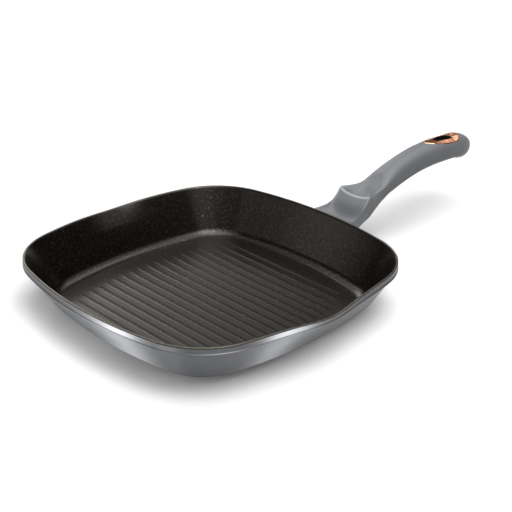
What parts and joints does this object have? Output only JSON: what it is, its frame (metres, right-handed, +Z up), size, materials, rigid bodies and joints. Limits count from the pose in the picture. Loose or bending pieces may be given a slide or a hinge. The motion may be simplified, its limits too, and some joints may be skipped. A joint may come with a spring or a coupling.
{
  "type": "grill pan",
  "caption": "Square ribbed grill pan with rounded corners, sloping walls, a rim band, two pouring spouts and one long fixed handle with a thumb scoop and a hanging eye.",
  "frame": {"origin": "centre of the flat underside, on the face the pan rests on", "axes": "+X along the handle, away from the pan; +Z up out of the pan's mouth; +Y across, through one pouring spout"},
  "size_m": [0.498, 0.2858, 0.0782],
  "materials": {
    "coated_aluminium": "silver-grey metallic lacquer outside, dark speckled non-stick coating inside and over the lip",
    "base_steel": "turned ferritic steel",
    "bracket_steel": "plain steel",
    "soft_touch_grey": "matt soft-touch coat on phenolic resin",
    "rose_gold_trim": "polished rose-gold metallising",
    "fixing_steel": "zinc-plated steel"
  },
  "bodies": {
    "root": {"pan_body": "coated_aluminium", "induction_plate": "base_steel", "handle_bracket": "bracket_steel", "handle_grip": "soft_touch_grey", "hanging_eye": "rose_gold_trim", "handle_screw": "fixing_steel", "lock_washer": "fixing_steel", "flat_washer": "fixing_steel"}
  },
  "joints": []
}
